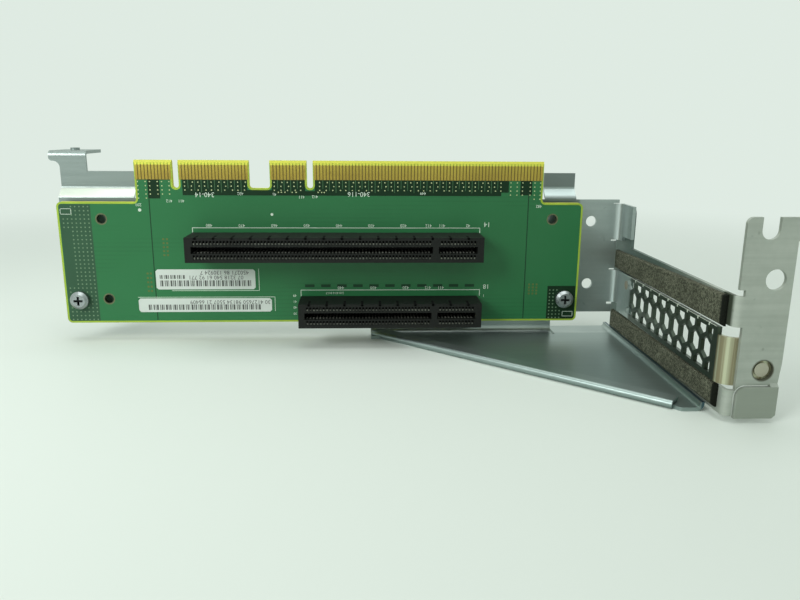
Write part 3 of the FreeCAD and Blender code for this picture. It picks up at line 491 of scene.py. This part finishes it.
def addDisc(bm, centre, wide, sides, turn):
    bmesh.ops.create_cone(
        bm, cap_ends=True, segments=sides, radius1=wide / 2 * mm, radius2=wide / 2 * mm,
        depth=layer["print"] * mm, matrix=Matrix.Translation(onBoard(*centre)) @ turn,
    )


def addDot(bm, x, z, wide, sides=6):
    addDisc(bm, (x, -layer["print"] / 2, z), wide, sides, standing)


# plain numbers, upside down as on the real board
def addNumber(bm, text, x, z, high, level=0.0):
    curve = bpy.data.curves.new("number", "FONT")
    curve.body = text
    curve.size = high * 1.4 * mm  # a digit is about 0.7 of the font's size
    curve.extrude = layer["number"] / 2 * mm
    curve.resolution_u = 2
    curve.align_x = "CENTER"
    curve.align_y = "CENTER"
    holder = bpy.data.objects.new("number", curve)
    bpy.context.scene.collection.objects.link(holder)
    mesh = bpy.data.meshes.new_from_object(holder.evaluated_get(bpy.context.evaluated_depsgraph_get()))
    turn = standing @ Matrix.Rotation(math.pi, 4, "Z")
    mesh.transform(Matrix.Translation(onBoard(x, level - layer["number"] / 2, z)) @ turn)
    bm.from_mesh(mesh)
    bpy.data.objects.remove(holder)
    bpy.data.curves.remove(curve)
    bpy.data.meshes.remove(mesh)


def vertsOf(geometry):
    return [item for item in geometry if isinstance(item, bmesh.types.BMVert)]


# grows flat faces toward the front
def thicken(bm, thick):
    grown = bmesh.ops.extrude_face_region(bm, geom=bm.faces[:])["geom"]
    bmesh.ops.translate(bm, vec=(0, -thick * mm, 0), verts=vertsOf(grown))


# the places of a grid, column by column
def gridPlaces(x, z, stepX, stepZ, columns, rows):
    return [(x + column * stepX, z + row * stepZ) for column in range(columns) for row in range(rows)]


# bright laminate rim round the board's face; each corner names its round, if it has one
rim = {
    "wide": 0.56, "shoulder": 38.0, "floor": 42.3, "top": 49.9, "side": 0.25, "notchFrom": 11.2,
    "notchWide": 1.9, "boardRound": 1.5, "footRound": 1.0, "notchRound": 0.9,
}
corners = [(x, z, "boardRound") for x, z in ((0, 0), (boardLong, 0), (boardLong, rim["shoulder"]))]
for key, leftFloor, rightFloor in (("x16", "floor", "shoulder"), ("x4", "shoulder", "floor")):
    low, high = ((corner[0] - boardLow.x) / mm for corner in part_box(f"fingers_{key}_front"))
    left, right = low - rim["side"], high + rim["side"]
    inner = left + rim["notchFrom"]
    outer = inner + rim["notchWide"]
    corners += [
        (right, rim[rightFloor], "footRound"), (right, rim["top"], None),
        (outer, rim["top"], None), (outer, rim["floor"], "notchRound"),
        (inner, rim["floor"], "notchRound"), (inner, rim["top"], None),
        (left, rim["top"], None), (left, rim[leftFloor], "footRound"),
    ]
corners.append((0, rim["shoulder"], "boardRound"))
bm = bmesh.new()
spots = [bm.verts.new(onBoard(x, 0, z)) for x, z, _ in corners]
bm.faces.new(spots)
for name in ("boardRound", "footRound", "notchRound"):
    chosen = [spot for spot, corner in zip(spots, corners) if corner[2] == name]
    bmesh.ops.bevel(bm, geom=chosen, offset=rim[name] * mm, offset_type="OFFSET", segments=5,
                    profile=0.5, affect="VERTICES", material=-1)
bmesh.ops.inset_region(bm, faces=bm.faces[:], thickness=rim["wide"] * mm, use_even_offset=True,
                       use_boundary=True)
middle = max(bm.faces, key=lambda item: item.calc_area())
bmesh.ops.delete(bm, geom=[middle], context="FACES_ONLY")
thicken(bm, layer["rim"])
finishPiece(bm, "board_rim", paints["rim"])

# white print: lines round the slots, plain numbers beside them, frames, words and squares
silk = {
    "x16": {"left": 40.4, "right": 129.75, "line": 30.15, "drop": 1.6, "first": 45.6, "pitch": 10.0,
            "numbers": (480, 470, 460, 450, 440, 430, 420),
            "more": ((113.5, 412), (117.7, 411), (125.9, 42))},
    "x8": {"left": 73.2, "right": 130.3, "line": 10.35, "drop": 2.0, "first": 85.9, "pitch": 10.3,
           "numbers": (440, 430, 420), "more": ((113.6, 412), (117.7, 411))},
    "lineWide": 0.18, "numberUp": 0.75, "numberHigh": 0.95,
    "frames": ((60.3, 10.2, 17.3, 33.0, 10.2), (65.1, 3.6, 8.25, 22.3, 8.11)),
    "squares": ((1.0, 34.2, 4.3, 36.0), (157.4, 1.4, 160.8, 3.1)), "frameWide": 0.14,
    "words": ((44.8, 40.35, 1.5, "340-14"), (91.8, 40.6, 1.5, "340-116"), (55.6, 40.7, 0.9, "432"),
              (65.9, 40.5, 0.9, "41"), (74.2, 39.7, 0.9, "411"), (78.3, 39.8, 0.9, "412"),
              (34.0, 38.4, 0.9, "412"), (37.6, 38.4, 0.9, "411"), (111.6, 40.9, 0.9, "449"),
              (148.0, 37.0, 0.9, "482"), (131.9, 31.3, 1.5, "14"), (132.3, 11.4, 1.5, "18"),
              (24.6, 37.2, 0.9, "201"), (131.6, 8.4, 0.8, "1"), (84.0, 9.4, 0.7, "210 43 6 0117")),
    "column": {"x": 71.3, "top": 8.6, "pitch": 1.95, "high": 0.8, "words": ("49", "41", "40", "39")},
    "dots": ((65.0, 34.3, 0.9), (24.9, 35.6, 1.0)),
}
bm = bmesh.new()
wide = silk["lineWide"]
for key in ("x16", "x8"):
    lines = silk[key]
    left, right, line = lines["left"], lines["right"], lines["line"]
    addPlate(bm, left, line - wide / 2, right, line + wide / 2)
    addPlate(bm, left, line - lines["drop"], left + wide, line)
    addPlate(bm, right - wide, line - lines["drop"], right, line)
    row = [lines["first"] + index * lines["pitch"] for index in range(len(lines["numbers"]))]
    for x, number in (*zip(row, lines["numbers"]), *lines["more"]):
        addNumber(bm, str(number), x, line + silk["numberUp"], silk["numberHigh"])
wide = silk["frameWide"]
for right, low, high, left, level in silk["frames"]:
    addPlate(bm, right - wide, low, right, high)
    addPlate(bm, left, level, right, level + wide)
for x, z, high, text in silk["words"]:
    addNumber(bm, text, x, z, high)
column = silk["column"]
for index, text in enumerate(column["words"]):
    addNumber(bm, text, column["x"], column["top"] - index * column["pitch"], column["high"])
for x, z, across in silk["dots"]:
    addDot(bm, x, z, across, sides=10)
for left, low, right, high in silk["squares"]:
    for line in ((left, low, right, low + wide), (left, high - wide, right, high),
                 (left, low, left + wide, high), (right - wide, low, right, high)):
        addPlate(bm, *line, thick=layer["frame"])
finishPiece(bm, "silk_print", paints["silk"])
print("rim and silk print made")

# dark areas of the board: the ground strip, the screw's square and the band under the fingers
ground = {
    "strip": (0.75, 0.6, 10.1, 37.3), "square": (152.2, 0.5, 161.3, 11.5),
    "edge": ((27.8, 39.1, 31.4, 44.8), (38.2, 40.1, 57.8, 44.8), (57.8, 40.1, 65.2, 41.75),
             (65.2, 40.1, 75.4, 44.8), (75.4, 40.1, 78.3, 41.5), (78.3, 40.1, 136.0, 44.8),
             (136.0, 41.2, 138.3, 44.8), (141.9, 40.4, 145.6, 44.8)),
    "lines": ((27.95, 0.8, 39.2), (144.65, 0.8, 41.0)), "lineWide": 0.3,
    "patches": {"first": 74.6, "pitch": 5.08, "count": 11, "wide": 3.0, "low": 11.3, "high": 12.2},
}
bm = bmesh.new()
addPlate(bm, *ground["strip"], layer["area"])
finishPiece(bm, "ground_areas", paints["ground"])
bm = bmesh.new()
for area in (ground["square"], *ground["edge"]):
    addPlate(bm, *area, layer["area"])
finishPiece(bm, "edge_areas", paints["underGold"])

bm = bmesh.new()
half = ground["lineWide"] / 2
for x, low, high in ground["lines"]:
    addPlate(bm, x - half, low, x + half, high, layer["line"])
patches = ground["patches"]
for index in range(patches["count"]):
    x = patches["first"] + index * patches["pitch"]
    addPlate(bm, x, patches["low"], x + patches["wide"], patches["high"], layer["patch"])
finishPiece(bm, "board_lines", paints["line"])

# plated holes of the ground strip, and closer ones in the screw's square; each gap is x, z and radius
dots = {
    "pitch": 1.27, "wide": 0.5, "right": 9.35, "top": 36.6, "columns": 7, "rows": 29, "inner": 3.6,
    "plain": ((11.8, 29.6), (33.3, 37.5)), "square": (153.0, 1.0), "squareColumns": 5, "squareRows": 9,
    "squareShare": 0.9, "gaps": ((*screwSpots[0], 3.2), (*screwSpots[1], 3.4), (159.1, 2.2, 2.0)),
}
pitch = dots["pitch"]
near = pitch * dots["squareShare"]
strip = gridPlaces(dots["right"], dots["top"], -pitch, -pitch, dots["columns"], dots["rows"])
square = gridPlaces(*dots["square"], near, near, dots["squareColumns"], dots["squareRows"])
bm = bmesh.new()
for x, z in strip + square:
    plain = x < dots["inner"] and any(low < z < high for low, high in dots["plain"])
    clear = all(math.hypot(x - gapX, z - gapZ) > reach for gapX, gapZ, reach in dots["gaps"])
    if clear and not plain:
        addDot(bm, x, z, dots["wide"])
finishPiece(bm, "ground_dots", paints["groundDot"])

# pale plated holes in rows under the fingers, with thin traces between them
edge = {
    "wide": 0.42, "rows": (44.1, 42.9, 41.7), "pitch": 2.0, "shift": 0.35,
    "runs": ((38.95, 57.6), (66.0, 75.0), (79.8, 137.5)),
    "blocks": ((24.9, 27.2, 5), (28.5, 30.8, 4), (32.1, 34.3, 4), (138.9, 140.9, 4), (142.6, 145.0, 4),
               (146.4, 148.2, 5)),
    "blockTop": 44.2, "blockPitch": 1.25,
    "loose": (67.2, 68.1, 69.2, 71.4, 72.6, 79.3, 80.4, 81.2), "looseRow": 41.1,
    "traceWide": 0.2, "traceTop": 44.8, "traceLow": 42.2, "traceStep": 0.6,
}
bm = bmesh.new()
for left, right in edge["runs"]:
    for index in range(int((right - left) / edge["pitch"]) + 1):
        x = left + index * edge["pitch"]
        for row, z in enumerate(edge["rows"]):
            shift = edge["shift"] if (index * 5 + row * 3) % 4 == 1 else 0
            addDot(bm, x + shift, z, edge["wide"])
for left, right, rows in edge["blocks"]:
    for x, z in gridPlaces(left, edge["blockTop"], right - left, -edge["blockPitch"], 2, rows):
        addDot(bm, x, z, edge["wide"])
for x in edge["loose"]:
    addDot(bm, x, edge["looseRow"], edge["wide"])
finishPiece(bm, "edge_dots", paints["edgeDot"])
bm = bmesh.new()
half = edge["traceWide"] / 2
for left, right in edge["runs"]:
    for index in range(int((right - left) / edge["pitch"])):
        x = left + (index + 0.5) * edge["pitch"]
        low = edge["traceLow"] - edge["traceStep"] * (index % 3)
        addPlate(bm, x - half, low, x + half, edge["traceTop"], layer["trace"])
finishPiece(bm, "edge_traces", paints["edgeTrace"])

# small square pads for testing, dull under the mask; each grid is a place, two steps and two counts
pads = {
    "wide": 0.6, "grids": ((31.4, 21.6, 1.1, 1.25, 2, 5), (25.8, 10.2, 1.0, 1.4, 2, 5),
                           (146.2, 9.0, 1.2, 1.0, 3, 4)),
}
bm = bmesh.new()
half = pads["wide"] / 2
for grid in pads["grids"]:
    for x, z in gridPlaces(*grid):
        addPlate(bm, x - half, z - half, x + half, z + half, layer["area"])
finishPiece(bm, "test_pads", paints["testPad"])

# rings of plating round the tooling holes
rings = {"spots": finishes["board"]["holes"], "radius": 1.42, "grow": 1.27}
bm = bmesh.new()
for x, z in rings["spots"]:
    place = Matrix.Translation(onBoard(x, 0, z)) @ standing
    ring = bmesh.ops.create_circle(bm, segments=32, radius=rings["radius"] * mm, matrix=place)["verts"]
    inside = list({side for vert in ring for side in vert.link_edges})
    outside = bmesh.ops.extrude_edge_only(bm, edges=inside)["geom"]
    bmesh.ops.scale(bm, vec=(rings["grow"], 1, rings["grow"]), verts=vertsOf(outside),
                    space=Matrix.Translation(-onBoard(x, 0, z)))
thicken(bm, layer["rim"])
finishPiece(bm, "hole_rings", paints["holeRing"])

# bars and plain numbers on the two labels, upside down; each row of bars gives its place up the
# label, its height, its start and its end, and the widths and gaps are shares of the unit
labels = {
    "label_part": {"bars": ((1.0, 1.9, 1.2, 29.3), (3.4, 1.2, 1.2, 9.0)),
                   "numbers": ((3.85, 18.6, "07 3218 540 61 92 771"),
                               (5.4, 21.3, "450271 86 130924 7"))},
    "label_serial": {"bars": ((0.7, 1.7, 3.0, 37.8),),
                     "numbers": ((3.2, 28.6, "30 4127650 98134 5507 21 66409"),)},
    "unit": 0.3, "wides": (0.6, 1.3, 0.8, 1.9), "gaps": (0.9, 1.6, 0.7), "numberHigh": 1.3,
}
bm = bmesh.new()
for name in ("label_part", "label_serial"):
    corner = cornersOf(name)[0]
    for up, tall, first, last in labels[name]["bars"]:
        x, step = corner.x + first, 0
        while x < corner.x + last:
            step += 1
            wide = labels["unit"] * labels["wides"][(step * 7 + int(up)) % 4]
            addPlate(bm, x, corner.z + up, x + wide, corner.z + up + tall, layer["bar"], corner.y)
            x += wide + labels["unit"] * labels["gaps"][(step * 5) % 3]
    for up, across, text in labels[name]["numbers"]:
        addNumber(bm, text, corner.x + across, corner.z + up, labels["numberHigh"], corner.y)
finishPiece(bm, "label_marks", paints["ink"])
print("board prints made")

# notches along the top of both slots, near black with painted shade, and blades seen in the mouths, 1 mm
# apart
slots = {
    "slot_x16": {"notches": 16, "mouths": ((1.9, 73.6), (75.4, 87.1))},
    "slot_x8": {"notches": 10, "mouths": ((1.9, 40.6), (42.4, 54.1))},
    "notchFirst": 2.9, "notchPitch": 5.4, "notchWide": 0.7, "notchBack": 4.42, "notchDeep": 0.6,
    "bladeFirst": 0.5, "bladeWide": 0.35, "bladeFront": 1.5, "bladeBack": 6.5,
    "bladeInner": 0.75, "bladeOuter": 1.045, "proud": 0.02,
}
notches, blades = bmesh.new(), bmesh.new()
for name in ("slot_x16", "slot_x8"):
    low, high = cornersOf(name)
    for index in range(slots[name]["notches"]):
        x = low.x + slots["notchFirst"] + index * slots["notchPitch"]
        addBox(notches, (x, low.y, high.z - slots["notchDeep"]),
               (x + slots["notchWide"], low.y + slots["notchBack"], high.z + slots["proud"]))
    middle = (low.z + high.z) / 2
    for left, right in slots[name]["mouths"]:
        for index in range(int(right - left)):
            x = low.x + left + slots["bladeFirst"] + index
            for side in (-1, 1):
                lower, upper = sorted(middle + side * slots[end] for end in ("bladeInner", "bladeOuter"))
                addBox(blades, (x, low.y + slots["bladeFront"], lower),
                       (x + slots["bladeWide"], low.y + slots["bladeBack"], upper))
finishPiece(notches, "slot_notches", paints["mouth"])
finishPiece(blades, "mouth_blades", metals["contact"])
print("slot details made")

# bright cut edge and ticks along the top of the vented band, and a round painted highlight on it
band = {
    "top": 15.95, "near": -64.0, "far": -6.0, "edgeHigh": 0.12, "proud": 0.02,
    "first": -12.2, "pitch": 6.0, "count": 9, "tickWide": 0.48, "tickHigh": 0.75, "tickBack": 0.8,
    "tickProud": 0.03, "spot": (-4.6, 12.7), "spotWide": 2.8,
}
bandFront, top, proud = wallFace - 1, band["top"], band["proud"]
bm = bmesh.new()
addBox(bm, (bandFront - proud, band["near"], top - band["edgeHigh"]), (bandFront, band["far"], top))
half = band["tickWide"] / 2
for index in range(band["count"]):
    y = band["first"] - index * band["pitch"]
    addBox(bm, (bandFront - band["tickProud"], y - half, top - band["tickHigh"]),
           (bandFront, y + half, top + proud))
    addBox(bm, (bandFront, y - half, top), (bandFront + band["tickBack"], y + half, top + proud))
finishPiece(bm, "band_ticks", paints["tick"])
bm = bmesh.new()
addDisc(bm, (bandFront - layer["print"] / 2, *band["spot"]), band["spotWide"], 32,
        Matrix.Rotation(math.pi / 2, 4, "Y"))
finishPiece(bm, "band_highlight", paints["bandHighlight"])

# gaskets: the solid's own slanted block with soft front edges; where a foot is given, the underside
# lies just above it, by one lift at its near edge and another at its far edge
gaskets = {"round": 0.6, "nearLift": 0.5, "farLift": 0.1}


def softGasket(name, foot=None):
    bm = bmesh.new()
    bm.from_mesh(nodes[name].data)
    bmesh.ops.remove_doubles(bm, verts=bm.verts[:], dist=0.00001)
    bmesh.ops.dissolve_limit(bm, angle_limit=0.02, verts=bm.verts[:], edges=bm.edges[:])
    middle = (Vector(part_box(name)[0]) + Vector(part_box(name)[1])) / 2
    if foot is not None:
        for vert in bm.verts:
            if vert.co.z < middle.z:
                lift = gaskets["nearLift"] if vert.co.y < middle.y else gaskets["farLift"]
                vert.co.z = foot + lift * mm
    front = [side for side in bm.edges if all(vert.co.x < middle.x for vert in side.verts)]
    bmesh.ops.bevel(bm, geom=front, offset=gaskets["round"] * mm, segments=4, profile=0.5,
                    affect="EDGES", material=-1)
    piece = finishPiece(bm, name + "_cloth", gasketWeave)
    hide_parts(name)


softGasket("upper_gasket", onBoard(0, 0, band["top"]).z)
softGasket("lower_gasket")
print("gaskets made")

# floor and backdrop: one pale colour, with the floor lit near the object
stage = {
    "pale": (0.74, 0.83, 0.765), "floor": (0.69, 0.765, 0.70), "world": (0.90, 0.96, 0.92),
    "worldPower": 0.43, "floorWide": 12, "near": 0.16, "far": 0.50,
}


def seenDirectly(tree):
    paths = tree.nodes.new("ShaderNodeLightPath")
    seen = mathNode(tree, "ADD", paths.outputs["Is Camera Ray"], paths.outputs["Is Glossy Ray"])
    seen = mathNode(tree, "ADD", seen, paths.outputs["Is Transmission Ray"])
    return mathNode(tree, "MINIMUM", seen, 1)


# shows the first shader where the share is 0 and the second where it is 1
def mixSurface(tree, output, share, first, second):
    mixer = tree.nodes.new("ShaderNodeMixShader")
    for socket, value in zip(mixer.inputs, (share, first.outputs[0], second.outputs[0])):
        tree.links.new(value, socket)
    tree.links.new(mixer.outputs[0], tree.nodes[output].inputs["Surface"])


material, tree, shader, coords = newMaterial("paleFloor", 0.6)
feed(tree, shader.inputs["Base Color"], stage["floor"])
reach = vectorNode(tree, "LENGTH", coords)["Value"]
fade = rampValue(tree, reach, stage["near"], stage["far"], "SMOOTHSTEP")
glow = tree.nodes.new("ShaderNodeEmission")
feed(tree, glow.inputs["Color"], stage["pale"])
mixSurface(tree, "Material Output", mathNode(tree, "MULTIPLY", fade, seenDirectly(tree)), shader, glow)
bpy.ops.mesh.primitive_plane_add(size=stage["floorWide"], location=(0, 0, 0))
floor = bpy.context.object
floor.name = "studio_floor"
floor.data.materials.append(material)

world = bpy.data.worlds.new("studioWorld")
world.use_nodes = True
bpy.context.scene.world = world
tree = world.node_tree
background = tree.nodes["Background"]
feed(tree, background.inputs["Color"], stage["world"])
feed(tree, background.inputs["Strength"], stage["worldPower"])
pale = tree.nodes.new("ShaderNodeBackground")
feed(tree, pale.inputs["Color"], stage["pale"])
mixSurface(tree, "World Output", seenDirectly(tree), background, pale)

lamps = {
    "overhead": {"place": (0.0, 0.0, 0.8), "aim": (0, 0, 0), "size": 0.7, "power": 3.2, "spread": 180},
    "left": {"place": (-0.36, -0.32, 0.28), "aim": (-0.08, 0.02, 0.03), "size": 0.25, "power": 0.36,
             "spread": 75},
}
for name, lamp in lamps.items():
    light = bpy.data.lights.new(name, "AREA")
    light.energy = lamp["power"]
    light.size = lamp["size"]
    light.spread = math.radians(lamp["spread"])
    holder = bpy.data.objects.new(name, light)
    turn = (Vector(lamp["aim"]) - Vector(lamp["place"])).to_track_quat("-Z", "Y").to_matrix().to_4x4()
    holder.matrix_world = Matrix.Translation(lamp["place"]) @ turn
    bpy.context.scene.collection.objects.link(holder)

# the camera's place in board millimetres and its turns in degrees
view = {"place": (94.528, -220.468, 60.456), "yaw": 2.649, "pitch": 13.614, "roll": 0.422,
        "lens": 31.93}
yaw, pitch, roll = (math.radians(view[key]) for key in ("yaw", "pitch", "roll"))
ahead = Vector((math.sin(yaw) * math.cos(pitch), math.cos(yaw) * math.cos(pitch), -math.sin(pitch)))
right = Vector((math.cos(yaw), -math.sin(yaw), 0))
up = right.cross(ahead)
turnedRight = math.cos(roll) * right + math.sin(roll) * up
turnedUp = -math.sin(roll) * right + math.cos(roll) * up
lens = bpy.data.cameras.new("camera")
lens.lens = view["lens"]
lens.sensor_width = 36
lens.clip_start = 0.01
camera = bpy.data.objects.new("camera", lens)
turn = Matrix((turnedRight, turnedUp, -ahead)).transposed().to_4x4()
camera.matrix_world = Matrix.Translation(onBoard(*view["place"])) @ turn
bpy.context.scene.collection.objects.link(camera)
bpy.context.scene.camera = camera
bpy.context.scene.view_settings.view_transform = "Standard"
print("stage, light and camera set")
